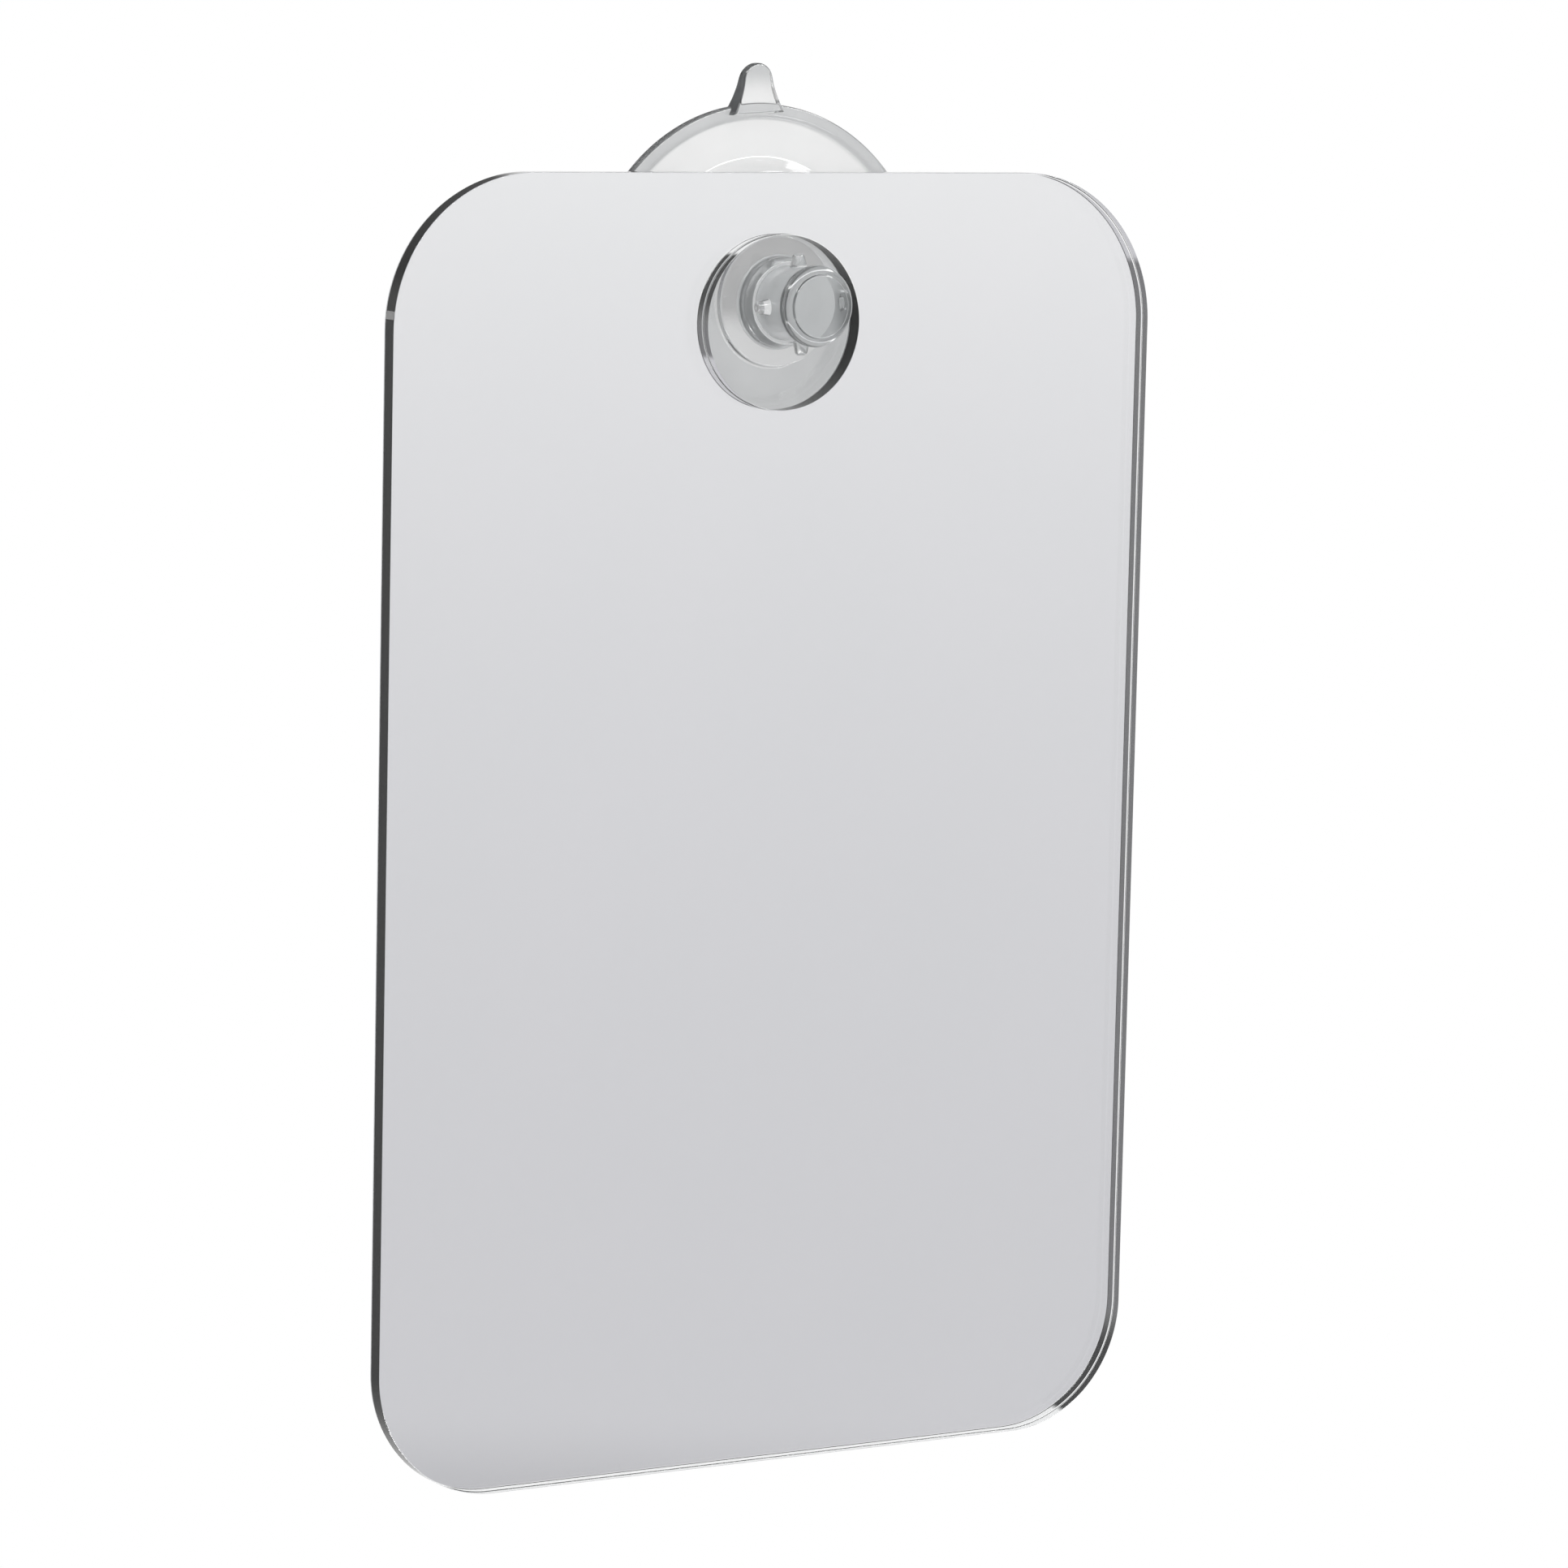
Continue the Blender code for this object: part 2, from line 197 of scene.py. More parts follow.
# Sizes of what the surfaces show close up
CLOUD_SIZE = 0.006
SMALL_CLOUD_SIZE = 0.003
EDGE_CLOUD_SIZE = 0.004
RIPPLE_SIZE = 0.004
RIPPLE_DEPTH = 0.00005
SMEAR_SIZE = 0.002
HAZE_SIZE = 0.03
TOOL_MARK_SIZE = 0.003
TOOL_MARK_DEPTH = 0.000006
FILM_CLOUD_SIZE = 0.05
MOTTLE_SIZE = 0.012
PEEL_SIZE = 0.0009
PEEL_DEPTH = 0.00004

# How often their lumps are broken up into finer ones
WAVE_DETAIL = 1
COAT_DETAIL = 2
CLOUD_DETAIL = 3
MOTTLE_DETAIL = 4

# Tones of the moulding, from the darkest to the lightest where there are two
# The first tones are the thick parts' own grey and painted shade where the cup shows in the panel's hole
# and on the bead
THICK_AND_SHADE_TONES = ((0.58, 0.59, 0.595, 1), (0.71, 0.72, 0.725, 1))
LIP_TONES = ((0.92, 0.925, 0.925, 1), (0.98, 0.98, 0.98, 1))
# The boss's front: painted shade at the top, a painted highlight at the bottom
BOSS_SHADE_AND_LIGHT_TONES = ((0.43, 0.43, 0.43, 1), (0.78, 0.78, 0.78, 1))
NUB_TONE = (0.90, 0.91, 0.91, 1)
HEAD_TONE = (0.46, 0.48, 0.485, 1)
# The head's rounded crown is painted darker: painted shade of the ring round its face
CROWN_SHADE_TONE = (0.38, 0.395, 0.40, 1)
NECK_TONES = ((0.84, 0.865, 0.88, 1), (0.94, 0.96, 0.97, 1))
COLLAR_TONES = ((0.41, 0.425, 0.43, 1), (0.57, 0.585, 0.59, 1))
# The rim's and the tab's sides: painted shade
SIDE_SHADE_TONES = ((0.10, 0.105, 0.11, 1), (0.26, 0.265, 0.27, 1))

# Tones of the panel, the same way
SHEET_TONES = ((0.975, 0.98, 0.98, 1), (0.985, 0.985, 0.985, 1))
SHEET_EDGE_TONES = ((0.93, 0.94, 0.94, 1), (0.97, 0.97, 0.97, 1))
FILM_TONES = ((0.90, 0.905, 0.905, 1), (0.92, 0.92, 0.925, 1))
PAINT_TONES = ((0.36, 0.37, 0.38, 1), (0.45, 0.46, 0.47, 1))

# Shares of the light that go through, and of the lip's light tone that the bead, the tab and the boss's
# side take; the bead's grey is painted shade, and the boss's side is painted lighter, as painted light
CLEAR_SHARE = 0.82
CLOUDY_SHARE = 0.5
SIDE_SHARE = 0.7
SHEET_EDGE_SHARE = 0.96
BEAD_LIP_TONE_SHARE = 0.1
TAB_LIP_TONE_SHARE = 0.05
# The boss's side is painted lighter: painted light
BOSS_SIDE_PAINTED_LIGHT_SHARE = 0.5

# How rough each surface is, from its smoothest to its roughest
VINYL_ROUGHNESS = (0.02, 0.08)
CLOUDY_ROUGHNESS = (0.04, 0.12)
SIDE_ROUGHNESS = (0.08, 0.18)
SHEET_ROUGHNESS = (0.0, 0.01)
SHEET_EDGE_ROUGHNESS = (0.01, 0.04)
FILM_ROUGHNESS = (0.004, 0.010)
PAINT_ROUGHNESS = (0.45, 0.65)

# How strongly light bends in vinyl and in acrylic
VINYL_BENDING = 1.52
ACRYLIC_BENDING = 1.49

# Camera
AIM = Vector((0.0019, sheet_low.y, -0.0798))
CAMERA_HEADING = math.radians(30.93)
CAMERA_DIP = math.radians(7.54)
CAMERA_ROLL = math.radians(1.27)
CAMERA_DISTANCE = 1.036
CAMERA_LENS = 143.3

# Floor
FLOOR_DROP = 1.1
FLOOR_RADIUS = 1.2
FLOOR_TONE = (0.85, 0.85, 0.85, 1)

# Directions in which the studio's light changes, as the start and end of each soft step, in parts of a
# unit direction: in front of the mirror
AHEAD_STEP = (0.25, 0.65)
SHADED_STEP = (0.09, 0.17)
SHADED_DARKER_STEP = (-0.1, 0.25)
PATCH_TOP_STEP = (0.230, 0.246)
PATCH_FOOT_STEP = (-0.32, -0.26)
PATCH_LEFT_STEP = (0.30, 0.42)
PATCH_RIGHT_STEP = (0.50, 0.58)

# The same behind it and round about
BEHIND_STEP = (0.45, 0.8)
LIP_BEHIND_STEP = (0.1, 0.4)
SIDE_DARKER_STEP = (0.6, 1.1)
CEILING_STEP = (0.1, 0.3)
RING_ABOVE_FOOT_STEP = (0.58, 0.62)
RING_ABOVE_TOP_STEP = (0.70, 0.74)
RING_ABOVE_BACK_STEP = (0.0, 0.2)
RING_BELOW_FOOT_STEP = (-0.67, -0.63)
RING_BELOW_TOP_STEP = (-0.58, -0.54)

# Which way lies behind, as the camera looks, and the slant of the shaded part's edge
BEHIND_ACROSS_SHARE = 0.51
BEHIND_ALONG_SHARE = 0.86
SHADED_UP_SHARE = 0.38
SHADED_ACROSS_SHARE = 0.925

# Levels of the studio's light, where 1 is white, what some of them drop by, and its tints
PLAIN_LEVEL = 0.92
FACE_LOW_LEVEL = 0.65
FACE_RISE_LEVEL = 0.38
FACE_RISE_SHARE = 0.11
SHADED_LEVEL = 0.20
SHADED_DROP_LEVEL = 0.15
PATCH_DROP_SHARE = 0.2
ROUND_LEVEL = 0.35
SIDE_DROP_LEVEL = 0.17
CEILING_DROP_SHARE = 0.85
RING_ABOVE_LEVEL = 12.0
RING_BELOW_LEVEL = 8.0
WHITE = (1, 1, 1, 1)
FACE_TINT = (0.975, 0.968, 1.01, 1)

# How often a ray has been turned when it comes from the silvering, and when it comes through the lip
MIRROR_TURNS = 6
LIP_TURNS = 3

# Lamps: name, place, width, watts, and whether they show in gloss and clear pieces alone
LAMPS = (
    ("key_box", Vector((-0.6, -0.8, 0.9)), 0.8, 4.0, False),
    ("low_box", Vector((-0.42, 0.5, -0.8)), 0.35, 6.0, True),
    ("rear_spot", Vector((-0.31, 0.855, -0.41)), 0.06, 0.035, True),
    ("side_spot", Vector((-0.51, 0.86, 0.03)), 0.05, 0.015, True),
)


# Mesh helpers
def add_object(name, content):
    """Put a mesh, lamp or camera in the scene under its name."""
    item = bpy.data.objects.new(name, content)
    bpy.context.scene.collection.objects.link(item)
    return item


def from_bmesh(name, bm):
    """Turn a bmesh into an object in the scene."""
    mesh = bpy.data.meshes.new(name)
    bm.to_mesh(mesh)
    bm.free()
    return add_object(name, mesh)


def bevel(bm, geometry, offset, steps, affect, clamped=False):
    """Round edges or corners, starting this far from them on both sides."""
    bmesh.ops.bevel(
        bm,
        geom=geometry,
        offset=offset,
        offset_type="OFFSET",
        affect=affect,
        segments=steps,
        profile=0.5,
        material=-1,
        clamp_overlap=clamped,
    )


def flat_outline(corners, steps):
    """A bmesh of one face in the XY plane, from corners given as (x, y, rounding)."""
    bm = bmesh.new()
    verts = [bm.verts.new((across, along, 0)) for across, along, rounding in corners]
    bm.faces.new(verts)
    for vert, (across, along, rounding) in zip(verts, corners):
        if rounding:
            bevel(bm, [vert], rounding, steps, "VERTICES")
    return bm


def turn(bm, steps):
    """Turn the half section in a bmesh about the Y axis into a closed solid."""
    bmesh.ops.delete(bm, geom=bm.faces[:], context="FACES_ONLY")
    on_axis = [edge for edge in bm.edges if all(abs(vert.co.x) < MERGE_DISTANCE for vert in edge.verts)]
    bmesh.ops.delete(bm, geom=on_axis, context="EDGES")
    bmesh.ops.spin(
        bm,
        geom=bm.verts[:] + bm.edges[:],
        cent=(0, 0, 0),
        axis=(0, 1, 0),
        angle=math.tau,
        steps=steps,
        use_merge=True,
    )
    bmesh.ops.remove_doubles(bm, verts=bm.verts, dist=MERGE_DISTANCE)
    bmesh.ops.recalc_face_normals(bm, faces=bm.faces)


def combine(item, tool, operation):
    """Cut an object by a tool, or join the tool on, and take the tool away."""
    modifier = item.modifiers.new(tool.name, "BOOLEAN")
    modifier.operation = operation
    modifier.solver = "EXACT"
    modifier.object = tool
    finished = bpy.data.meshes.new_from_object(item.evaluated_get(bpy.context.evaluated_depsgraph_get()))
    item.modifiers.clear()
    item.data = finished
    bpy.data.objects.remove(tool, do_unlink=True)


def shade(item):
    """Smooth the rounded stretches and keep the flat faces flat."""
    item.data.shade_smooth()
    item.data.set_sharp_from_angle(angle=SMOOTH_ANGLE)


def shade_plate(item):
    """Smooth a plate's rounded edges, and keep its two large faces flat."""
    shade(item)
    for face in item.data.polygons:
        face.use_smooth = abs(face.normal.y) < FLAT_SHARE


# Shader helpers
class Value:
    """A number in a shader, on which the usual signs add Math nodes."""

    def __init__(self, graph, socket):
        self.graph = graph
        self.socket = socket

    def math(self, operation, *others):
        """This value and any others, put through one operation."""
        sockets = dict(enumerate((self, *others)))
        made = self.graph.node("ShaderNodeMath", {"operation": operation}, sockets)
        return Value(self.graph, made.outputs[0])

    def __add__(self, other):
        return self.math("ADD", other)

    def __sub__(self, other):
        return self.math("SUBTRACT", other)

    def __rsub__(self, other):
        return (self * -1) + other

    def __mul__(self, other):
        return self.math("MULTIPLY", other)

    def __truediv__(self, other):
        return self.math("DIVIDE", other)

    def __pow__(self, other):
        return self.math("POWER", other)

    __radd__ = __add__
    __rmul__ = __mul__

    def greatest(self, other):
        """This value or the other, whichever is more."""
        return self.math("MAXIMUM", other)

    def equals(self, number):
        """1 where this whole number is the other one, and 0 elsewhere."""
        return self.math("COMPARE", number, 0.5)

    def below(self, limit):
        """1 where this value is less than the limit, and 0 elsewhere."""
        return self.math("LESS_THAN", limit)

    def exp(self):
        """e to this power."""
        return self.math("EXPONENT")

    def limited(self):
        """At least 0 and at most 1."""
        made = self.graph.node("ShaderNodeClamp", None, {"Value": self})
        return Value(self.graph, made.outputs[0])

    def spread(self, ends):
        """The first end where this value is 0, and the second where it is 1."""
        return ends[0] + (ends[1] - ends[0]) * self

    def past(self, step):
        """0 before a step, given as its start and end, 1 after it, and a soft change in between."""
        settings = {"interpolation_type": "SMOOTHSTEP"}
        sockets = {"Value": self, "From Min": step[0], "From Max": step[1]}
        made = self.graph.node("ShaderNodeMapRange", settings, sockets)
        return Value(self.graph, made.outputs["Result"])

    def before(self, step):
        """1 before a step and 0 after it."""
        return 1 - self.past(step)


class Graph:
    """The nodes of one material, or of the world."""

    def __init__(self, tree):
        self.tree = tree
        tree.nodes.clear()

    def node(self, kind, settings=None, sockets=None):
        """Add a node: its settings first, then what its sockets hold or are linked to."""
        made = self.tree.nodes.new(kind)
        for name, value in (settings or {}).items():
            setattr(made, name, value)
        for name, value in (sockets or {}).items():
            if isinstance(value, Value):
                value = value.socket
            if isinstance(value, bpy.types.NodeSocket):
                self.tree.links.new(value, made.inputs[name])
            else:
                made.inputs[name].default_value = value
        return made

    def parts(self, vector):
        """The three parts of a vector: across, along and up."""
        made = self.node("ShaderNodeSeparateXYZ", None, {0: vector})
        return [Value(self, made.outputs[axis]) for axis in ("X", "Y", "Z")]

    def place(self):
        """The point on the piece, in metres."""
        return self.node("ShaderNodeTexCoord").outputs["Object"]

    def noise(self, size, detail):
        """A cloudy value about 0.5, from its lumps' size in metres and how often they are broken up."""
        sockets = {"Vector": self.place(), "Scale": 1 / size, "Detail": detail}
        return Value(self, self.node("ShaderNodeTexNoise", None, sockets).outputs["Fac"])

    def ray_facts(self, *names):
        """What is known of the ray of light that asks."""
        rays = self.node("ShaderNodeLightPath")
        return [Value(self, rays.outputs[name]) for name in names]

    def blend(self, share, first, second):
        """A colour from first to second, as the share goes from 0 to 1."""
        sockets = {0: share, 6: first, 7: second}
        return self.node("ShaderNodeMix", {"data_type": "RGBA"}, sockets).outputs[2]

    def bump(self, height, depth):
        """A normal from a height between 0 and 1 that stands for this depth in metres."""
        sockets = {"Height": height, "Distance": depth, "Strength": 1.0}
        return self.node("ShaderNodeBump", None, sockets).outputs["Normal"]


def make_material(name):
    """A new material and the graph of its nodes."""
    material = bpy.data.materials.new(name)
    material.use_nodes = True
    return material, Graph(material.node_tree)


def finish_material(graph, **sockets):
    """The Principled shader and the output that end a material."""
    named = {name.replace("_", " "): value for name, value in sockets.items()}
    shader = graph.node("ShaderNodeBsdfPrincipled", None, named)
    graph.node("ShaderNodeOutputMaterial", None, {"Surface": shader.outputs["BSDF"]})


# Materials of the cup
def lip_tone_share(radius, along):
    """How much of the lip's light tone the moulding takes: 0 on the dome and the bead, whose grey is
    painted shade, and 1 on the lip; the boss's side takes half, as painted light.
    """
    # Painted shade on the bead, which takes little of the lip's tone
    bead = radius.past(BEAD_INNER_STEP) * radius.before(BEAD_OUTER_STEP)
    tab = radius.past(TAB_STEP)
    lip_part = radius.past(LIP_TONE_STEP) * (1 - (1 - BEAD_LIP_TONE_SHARE) * bead) * (1 - (1 - TAB_LIP_TONE_SHARE) * tab)
    # The boss's side takes half the lip's light tone: painted light
    boss_ring = radius.before(BOSS_SIDE_OUTER_STEP) * radius.past(BOSS_SIDE_INNER_STEP)
    boss_side = boss_ring * along.past(BOSS_SIDE_START_STEP) * along.before(BOSS_SIDE_END_STEP)
    return (BOSS_SIDE_PAINTED_LIGHT_SHARE * boss_side).greatest(lip_part)


def clear_vinyl():
    """Soft clear moulding: greyer where it is thick, with painted shade where it shows in the panel's hole,
    on the bead and on the head's crown, painted shade and a painted highlight on the boss's front, cloudy,
    and gently rippled by its mould.
    """
    material, graph = make_material("clear_vinyl")
    across, along, up = graph.parts(graph.place())
    radius = (across * across + up * up) ** 0.5
    boss_length = along.past(BOSS_FRONT_START_STEP) * along.before(BOSS_FRONT_END_STEP)
    boss_front = boss_length * radius.before(BOSS_FRONT_OUTER_STEP)
    # Painted shade on the boss's front, turning to a painted highlight towards its bottom
    boss_shade_and_light = graph.blend(up.before(BOSS_PAINTED_LIGHT_STEP), *BOSS_SHADE_AND_LIGHT_TONES)
    head = along.before(HEAD_END_STEP)
    crown = head * radius.past(CROWN_STEP)
    nubs = (1 - head) * along.before(NECK_END_STEP)
    cloud = graph.noise(CLOUD_SIZE, CLOUD_DETAIL)
    # The thick parts' grey, with painted shade on the dome within the panel's hole
    tone = graph.blend(cloud, *THICK_AND_SHADE_TONES)
    tone = graph.blend(boss_front, tone, boss_shade_and_light)
    tone = graph.blend(nubs, tone, NUB_TONE)
    tone = graph.blend(head, tone, HEAD_TONE)
    # Painted shade on the head's crown
    tone = graph.blend(crown, tone, CROWN_SHADE_TONE)
    lip_colour = graph.blend(cloud, *LIP_TONES)
    finish_material(
        graph,
        Base_Color=graph.blend(lip_tone_share(radius, along), tone, lip_colour),
        Roughness=graph.noise(SMEAR_SIZE, CLOUD_DETAIL).spread(VINYL_ROUGHNESS),
        Normal=graph.bump(graph.noise(RIPPLE_SIZE, WAVE_DETAIL), RIPPLE_DEPTH),
        Transmission_Weight=CLEAR_SHARE,
        IOR=VINYL_BENDING,
    )
    return material


def cloudy_vinyl(name, tones):
    """A thick stretch of the moulding, milkier than the rest."""
    material, graph = make_material(name)
    cloud = graph.noise(SMALL_CLOUD_SIZE, CLOUD_DETAIL)
    finish_material(
        graph,
        Base_Color=graph.blend(cloud, *tones),
        Roughness=cloud.spread(CLOUDY_ROUGHNESS),
        Normal=graph.bump(graph.noise(RIPPLE_SIZE, WAVE_DETAIL), RIPPLE_DEPTH),
        Transmission_Weight=CLOUDY_SHARE,
        IOR=VINYL_BENDING,
    )
    return material


def vinyl_edge_shade():
    """The side of the rim and the tab, painted dark grey: painted shade of the dark outline along their
    edges.
    """
    material, graph = make_material("vinyl_edge_shade")
    cloud = graph.noise(EDGE_CLOUD_SIZE, CLOUD_DETAIL)
    finish_material(
        graph,
        # Painted shade: the sides are painted dark grey
        Base_Color=graph.blend(cloud, *SIDE_SHADE_TONES),
        Roughness=cloud.spread(SIDE_ROUGHNESS),
        Transmission_Weight=SIDE_SHARE,
        IOR=VINYL_BENDING,
    )
    return material


# Materials of the panel
def clear_acrylic():
    """Clear sheet under its fog-resisting coat, with a trace of haze."""
    material, graph = make_material("clear_acrylic")
    haze = graph.noise(HAZE_SIZE, CLOUD_DETAIL)
    finish_material(
        graph,
        Base_Color=graph.blend(haze, *SHEET_TONES),
        Roughness=haze.spread(SHEET_ROUGHNESS),
        Transmission_Weight=1.0,
        IOR=ACRYLIC_BENDING,
    )
    return material


def acrylic_edge():
    """The sheet's sawn and polished edge, with a trace of its tool marks."""
    material, graph = make_material("acrylic_edge")
    marks = graph.noise(TOOL_MARK_SIZE, WAVE_DETAIL)
    finish_material(
        graph,
        Base_Color=graph.blend(marks, *SHEET_EDGE_TONES),
        Roughness=marks.spread(SHEET_EDGE_ROUGHNESS),
        Normal=graph.bump(marks, TOOL_MARK_DEPTH),
        Transmission_Weight=SHEET_EDGE_SHARE,
        IOR=ACRYLIC_BENDING,
    )
    return material


def silvering():
    """Bright metal film behind the sheet."""
    material, graph = make_material("silver_layer")
    film = graph.noise(FILM_CLOUD_SIZE, COAT_DETAIL)
    finish_material(
        graph,
        Base_Color=graph.blend(film, *FILM_TONES),
        Roughness=film.spread(FILM_ROUGHNESS),
        Metallic=1.0,
    )
    return material


def back_paint():
    """Grey protective coat, rolled on: faintly mottled, with a fine orange peel."""
    material, graph = make_material("grey_coat")
    mottle = graph.noise(MOTTLE_SIZE, MOTTLE_DETAIL)
    finish_material(
        graph,
        Base_Color=graph.blend(mottle, *PAINT_TONES),
        Roughness=mottle.spread(PAINT_ROUGHNESS),
        Normal=graph.bump(graph.noise(PEEL_SIZE, COAT_DETAIL), PEEL_DEPTH),
    )
    return material


# Suction cup
def cap_height(distance):
    """Height of the chamber's roof, a spherical cap, at a distance from the cup's axis."""
    sphere_radius = (CHAMBER_RADIUS**2 + CHAMBER_DEPTH**2) / (2 * CHAMBER_DEPTH)
    return math.sqrt(sphere_radius**2 - distance**2) - (sphere_radius - CHAMBER_DEPTH)


def cup_section():
    """Half section of the cup as (radius, height, rounding), from its face's middle to its hollow."""
    face_radius = HEAD_RADIUS - HEAD_CROWN_WIDTH
    bead_inner_radius = RIM_RADIUS - BEAD_WIDTH
    rim_height = LIP_THICKNESS + BEAD_RISE
    front = [
        (0, CUP_LENGTH, 0),
        (face_radius, CUP_LENGTH, FACE_ROUND),
        (face_radius + FACE_SLOPE_WIDTH, CROWN_HEIGHT, FACE_FOOT_ROUND),
        (HEAD_RADIUS, CROWN_HEIGHT, HEAD_CROWN_ROUND),
        (HEAD_RADIUS, HEAD_BACK_HEIGHT, HEAD_ROUND),
        (NECK_RADIUS, HEAD_BACK_HEIGHT - HEAD_OVERHANG, NECK_ROUND),
        (NECK_RADIUS, NECK_FOOT_HEIGHT - NECK_GROOVE_DEPTH, NECK_FOOT_ROUND),
        (COLLAR_FRONT_RADIUS, NECK_FOOT_HEIGHT, COLLAR_ROUND),
        (COLLAR_RADIUS, COLLAR_HEIGHT, COLLAR_ROUND),
        (COLLAR_RADIUS, BOSS_HEIGHT, BOSS_ROUND),
        (BOSS_RADIUS, BOSS_HEIGHT, BOSS_ROUND),
        (BOSS_RADIUS, DOME_HEIGHT, BOSS_ROUND),
    ]
    width = STEP_TOP_RADIUS - BOSS_RADIUS
    shares = [step / DOME_STEPS for step in range(1, DOME_STEPS)]
    dome = [(BOSS_RADIUS + width * share, DOME_HEIGHT - DOME_RISE * share**2, 0) for share in shares]
    rim = [
        (STEP_TOP_RADIUS, STEP_HEIGHT, STEP_ROUND),
        (STEP_FOOT_RADIUS, LIP_THICKNESS, STEP_ROUND),
        (bead_inner_radius - BEAD_RISE, LIP_THICKNESS, BEAD_ROUND),
        (bead_inner_radius, rim_height, BEAD_ROUND),
        (RIM_RADIUS, rim_height, RIM_ROUND),
        (RIM_RADIUS, 0, 0),
    ]
    distances = [CHAMBER_RADIUS * (1 - step / CHAMBER_STEPS) for step in range(CHAMBER_STEPS + 1)]
    chamber = [(distance, cap_height(distance), 0) for distance in distances]
    return front + dome + rim + chamber


def make_nubs():
    """Four short pegs round the neck, each with a dimple in its tip."""
    root = NECK_RADIUS - NUB_BURIED
    tip = NECK_RADIUS + NUB_STANDOUT
    section = [
        (0, root, 0),
        (NUB_FOOT_RADIUS, root, 0),
        (NUB_FOOT_RADIUS, NECK_RADIUS, 0),
        (NUB_TIP_RADIUS, tip, NUB_TIP_ROUND),
        (NUB_DIMPLE_RADIUS, tip, NUB_DIMPLE_ROUND),
        (NUB_DIMPLE_FLOOR_RADIUS, tip - NUB_DIMPLE_DEPTH, NUB_DIMPLE_ROUND),
        (0, tip - NUB_DIMPLE_DEPTH, 0),
    ]
    height = HEAD_BACK_HEIGHT - NUB_BEHIND_HEAD
    joined = bmesh.new()
    for number in range(NUB_COUNT):
        bm = flat_outline(section, ROUND_STEPS)
        turn(bm, NUB_STEPS)
        around = Matrix.Rotation(math.tau * number / NUB_COUNT - CUP_TURN, 4, "Y")
        bm.transform(Matrix.Translation((0, -height, 0)) @ around @ UPRIGHT)
        peg = bpy.data.meshes.new("nub")
        bm.to_mesh(peg)
        bm.free()
        joined.from_mesh(peg)
        bpy.data.meshes.remove(peg)
    return from_bmesh("nubs", joined)


def make_tab():
    """Pull tab: a rounded tongue, flared at the rim, whose back leaves the wall as it thins."""
    foot = RIM_RADIUS - TAB_FOOT_DEPTH
    tip = RIM_RADIUS + TAB_LENGTH
    side = RIM_RADIUS + TAB_FLARE_LENGTH
    right = [
        (TAB_FOOT_HALF_WIDTH, foot, 0),
        (TAB_SIDE_HALF_WIDTH, side, TAB_FLARE_ROUND),
        (TAB_TIP_HALF_WIDTH, tip, TAB_TIP_ROUND),
    ]
    left = [(-across, along, rounding) for across, along, rounding in reversed(right)]
    bm = flat_outline(right + left, ROUND_STEPS)
    grown = bmesh.ops.extrude_face_region(bm, geom=bm.faces[:], use_keep_orig=True)
    back = [part for part in grown["geom"] if isinstance(part, bmesh.types.BMVert)]
    for vert in back:
        share = (vert.co.y - foot) / (tip - foot)
        vert.co.z -= TAB_THICKNESS + (TAB_TIP_THICKNESS - TAB_THICKNESS) * share
    bmesh.ops.recalc_face_normals(bm, faces=bm.faces)
    front_edges = [edge for edge in bm.edges if not any(vert in back for vert in edge.verts)]
    bevel(bm, front_edges, TAB_EDGE_ROUND, ROUND_STEPS, "EDGES", clamped=True)
    stand = Matrix.Translation((0, -TAB_BACK_GAP - TAB_THICKNESS, 0)) @ UPRIGHT
    bm.transform(Matrix.Rotation(-CUP_TURN, 4, "Y") @ stand)
    return from_bmesh("tab", bm)


def cup_material_number(face):
    """Which of the cup's materials a face has: 0 clear, 1 rim and tab side in painted shade, 2 collar, 3
    neck.
    """
    distance = math.hypot(face.center.x, face.center.z)
    height = -face.center.y
    sideways = abs(face.normal.y) < EDGE_SHARE
    if sideways and NECK_FOOT_HEIGHT < height < HEAD_BACK_HEIGHT and distance < COLLAR_FRONT_RADIUS:
        return 3
    if BOSS_HEIGHT < height < NECK_FOOT_HEIGHT and COLLAR_FRONT_RADIUS < distance < BOSS_RADIUS:
        return 2
    if sideways and distance > RIM_RADIUS - RIM_ROUND:
        return 1
    return 0


def make_cup():
    """The clear cup, one moulding."""
    section = [(radius, -height, rounding) for radius, height, rounding in cup_section()]
    bm = flat_outline(section, ROUND_STEPS)
    turn(bm, TURN_STEPS)
    cup = from_bmesh("cup_moulding", bm)
    combine(cup, make_nubs(), "UNION")
    combine(cup, make_tab(), "UNION")
    shade(cup)
    cup.data.materials.clear()
    collar = cloudy_vinyl("collar_vinyl", COLLAR_TONES)
    neck = cloudy_vinyl("neck_vinyl", NECK_TONES)
    for material in (clear_vinyl(), vinyl_edge_shade(), collar, neck):
        cup.data.materials.append(material)
    for face in cup.data.polygons:
        face.material_index = cup_material_number(face)
    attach(cup, "cup")
    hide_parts("suction_cup")


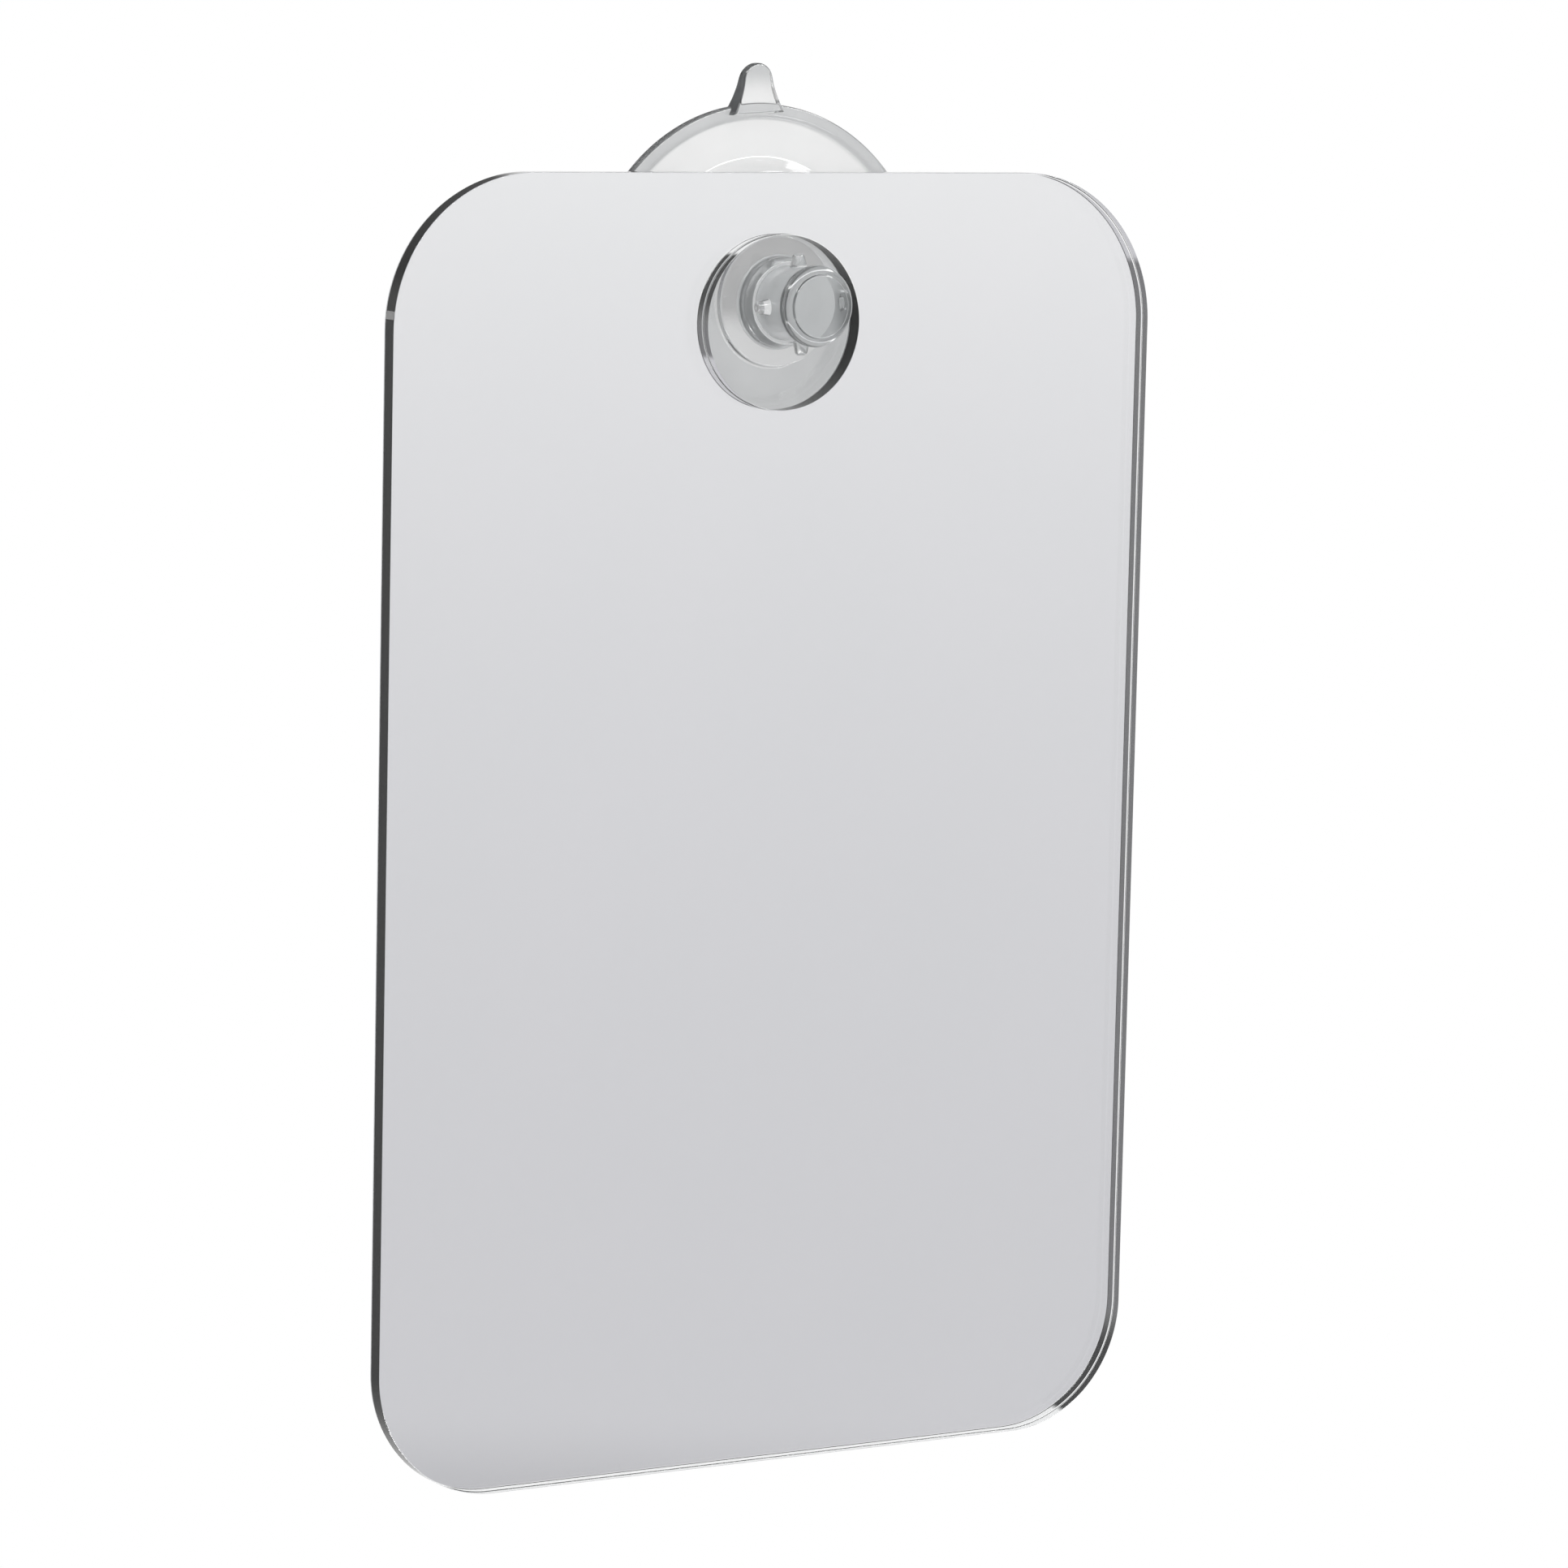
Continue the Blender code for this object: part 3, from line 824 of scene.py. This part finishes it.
# Panel
def make_plate(name, back, front, margin):
    """A flat layer of the panel, from its back to its front, that stops short of the sheet's edges."""
    right = [
        (sheet_high.x - margin, sheet_low.z + margin, BOTTOM_CORNER_RADIUS - margin),
        (sheet_high.x - margin, sheet_high.z - margin, TOP_CORNER_RADIUS - margin),
    ]
    left = [(-across, along, rounding) for across, along, rounding in reversed(right)]
    bm = flat_outline(right + left, CORNER_STEPS)
    grown = bmesh.ops.extrude_face_region(bm, geom=bm.faces[:], use_keep_orig=True)
    raised = [part for part in grown["geom"] if isinstance(part, bmesh.types.BMVert)]
    bmesh.ops.translate(bm, vec=(0, 0, back - front), verts=raised)
    bm.transform(Matrix.Translation((0, back, 0)) @ UPRIGHT)
    bmesh.ops.recalc_face_normals(bm, faces=bm.faces)
    plate = from_bmesh(name, bm)
    combine(plate, make_hole_cutter(back, front, HOLE_RADIUS + margin), "DIFFERENCE")
    return plate


def make_hole_cutter(back, front, radius):
    """Fine cylinder on the hole's axis, through a layer."""
    middle = Matrix.Translation((hole_axis.x, (back + front) / 2, hole_axis.z))
    bm = bmesh.new()
    bmesh.ops.create_cone(
        bm,
        cap_ends=True,
        segments=TURN_STEPS,
        radius1=radius,
        radius2=radius,
        depth=back - front + 2 * CUT_OVERRUN,
        matrix=middle @ UPRIGHT,
    )
    return from_bmesh("hole_cutter", bm)


def break_edges(plate):
    """Take the sharp edges off the sheet, and keep the rest of its walls upright."""
    bm = bmesh.new()
    bm.from_mesh(plate.data)
    sharp = [edge for edge in bm.edges if edge.calc_face_angle(0) > SMOOTH_ANGLE]
    bevel(bm, sharp, EDGE_BREAK, EDGE_BREAK_STEPS, "EDGES")
    inset = EDGE_BREAK + EDGE_SUPPORT
    for place in (sheet_low.y + inset, sheet_high.y - inset):
        geometry = bm.verts[:] + bm.edges[:] + bm.faces[:]
        bmesh.ops.bisect_plane(bm, geom=geometry, plane_co=(0, place, 0), plane_no=(0, 1, 0))
    bm.to_mesh(plate.data)
    bm.free()


def make_panel():
    """The mirrored panel: clear sheet, silvered film and the paint that protects it."""
    sheet = make_plate("clear_sheet", sheet_high.y, sheet_low.y, 0)
    break_edges(sheet)
    sheet.data.materials.append(clear_acrylic())
    sheet.data.materials.append(acrylic_edge())
    silver_front = sheet_high.y + LAYER_GAP
    silver_back = silver_front + SILVER_THICKNESS
    silver = make_plate("silvered_film", silver_back, silver_front, CLEAR_MARGIN)
    silver.data.materials.append(silvering())
    paint = make_plate("back_paint", coat_back, silver_back + LAYER_GAP, CLEAR_MARGIN)
    paint.data.materials.append(back_paint())
    for piece, slot, node in (
        (sheet, "clear_acrylic", "acrylic_sheet"),
        (silver, "silver_layer", "mirror_layer"),
        (paint, "grey_coat", "backing_coat"),
    ):
        shade_plate(piece)
        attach(piece, "mirror")
        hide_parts(node)

    # The sheet's side and the wall of its hole have the edge's finish, its faces and broken edges the other
    for face in sheet.data.polygons:
        face.material_index = 1 if abs(face.normal.y) < 1 - FLAT_SHARE else 0


# Studio
def make_world():
    """White behind the mirror, soft grey shades and rings of light in gloss, and plain light elsewhere."""
    world = bpy.data.worlds.new("studio")
    bpy.context.scene.world = world
    world.use_nodes = True
    graph = Graph(world.node_tree)
    across, along, up = graph.parts(graph.node("ShaderNodeTexCoord").outputs["Generated"])
    camera, glossy, through, turns = graph.ray_facts(
        "Is Camera Ray", "Is Glossy Ray", "Is Transmission Ray", "Ray Depth"
    )

    # The silvering shows the patch and none of the shaded part, and the lip shows white behind it
    by_mirror = through * turns.equals(MIRROR_TURNS)
    by_lip = through * turns.below(LIP_TURNS + 1)

    # In front of the mirror: brighter upwards, and dark to the left of what the mirror's face shows
    ahead = (-1 * along).past(AHEAD_STEP)
    rise = (up / FACE_RISE_SHARE).exp()
    patch = (-1 * up).past(PATCH_TOP_STEP) * up.past(PATCH_FOOT_STEP) * by_mirror
    patch = patch * across.past(PATCH_LEFT_STEP) * across.before(PATCH_RIGHT_STEP)
    ahead_level = (FACE_LOW_LEVEL + FACE_RISE_LEVEL * rise).limited() * (1 - PATCH_DROP_SHARE * patch)
    shaded = (SHADED_UP_SHARE * up - SHADED_ACROSS_SHARE * across).past(SHADED_STEP) * (1 - by_mirror)
    shaded_level = SHADED_LEVEL - SHADED_DROP_LEVEL * up.past(SHADED_DARKER_STEP)
    ahead_level = ahead_level * (1 - shaded) + shaded_level * shaded

    # Behind it: white where the camera looks, and grey round about
    behind = (BEHIND_ACROSS_SHARE * across + BEHIND_ALONG_SHARE * along).past(BEHIND_STEP)
    behind = behind.greatest(by_lip * along.past(LIP_BEHIND_STEP))
    round_level = ROUND_LEVEL - SIDE_DROP_LEVEL * (along - across).past(SIDE_DARKER_STEP)
    seen = round_level + (ahead_level - round_level) * ahead + (1 - round_level) * behind
    seen = seen * (1 - CEILING_DROP_SHARE * (1 - through) * (1 - ahead) * up.past(CEILING_STEP))

    # Rings of light above and below, which show in rounded edges as fine bright lines
    ring_above = up.past(RING_ABOVE_FOOT_STEP) * up.before(RING_ABOVE_TOP_STEP)
    ring_above = ring_above * along.before(RING_ABOVE_BACK_STEP)
    ring_below = up.past(RING_BELOW_FOOT_STEP) * up.before(RING_BELOW_TOP_STEP)
    seen = seen + (1 - through) * (RING_ABOVE_LEVEL * ring_above + RING_BELOW_LEVEL * ring_below)

    strength = camera + (1 - camera) * (PLAIN_LEVEL + (seen - PLAIN_LEVEL) * glossy)
    tint_share = ahead * (1 - rise).limited() * glossy
    colour = graph.blend(tint_share, WHITE, FACE_TINT)
    background = graph.node("ShaderNodeBackground", None, {"Color": colour, "Strength": strength})
    graph.node("ShaderNodeOutputWorld", None, {"Surface": background.outputs[0]})


def make_floor():
    """Pale floor well below the mirror, white where it is seen."""
    bm = bmesh.new()
    place = Matrix.Translation((0, 0, -FLOOR_DROP))
    bmesh.ops.create_circle(bm, cap_ends=True, segments=TURN_STEPS, radius=FLOOR_RADIUS, matrix=place)
    floor = from_bmesh("floor", bm)
    material, graph = make_material("pale_floor")
    camera, glossy, through = graph.ray_facts("Is Camera Ray", "Is Glossy Ray", "Is Transmission Ray")
    lit = graph.node("ShaderNodeBsdfDiffuse", None, {"Color": FLOOR_TONE})
    white = graph.node("ShaderNodeEmission", None, {"Color": WHITE, "Strength": 1.0})
    sockets = {0: camera + glossy + through, 1: lit.outputs[0], 2: white.outputs[0]}
    mixed = graph.node("ShaderNodeMixShader", None, sockets)
    graph.node("ShaderNodeOutputMaterial", None, {"Surface": mixed.outputs[0]})
    floor.data.materials.append(material)


def make_lamps():
    """One soft key light, and soft boxes that give the clear pieces their highlights."""
    for name, place, width, watts, gloss_only in LAMPS:
        lamp = bpy.data.lights.new(name, "AREA")
        lamp.size = width
        lamp.energy = watts
        item = add_object(name, lamp)
        item.location = place
        item.rotation_euler = (-place).to_track_quat("-Z", "Y").to_euler()
        item.visible_camera = False
        item.visible_diffuse = not gloss_only


def make_camera():
    """The camera, at the photograph's viewing angle."""
    camera = bpy.data.cameras.new("camera")
    camera.lens = CAMERA_LENS
    item = add_object("camera", camera)
    level = math.cos(CAMERA_DIP)
    across = math.sin(CAMERA_HEADING) * level
    along = math.cos(CAMERA_HEADING) * level
    forward = Vector((across, along, -math.sin(CAMERA_DIP)))
    roll = Matrix.Rotation(CAMERA_ROLL, 4, "Z").to_quaternion()
    item.rotation_mode = "QUATERNION"
    item.rotation_quaternion = forward.to_track_quat("-Z", "Y") @ roll
    item.location = AIM - forward * CAMERA_DISTANCE
    bpy.context.scene.camera = item


bpy.context.scene.view_settings.view_transform = "Standard"
make_camera()
make_world()
make_floor()
make_lamps()
make_cup()
make_panel()
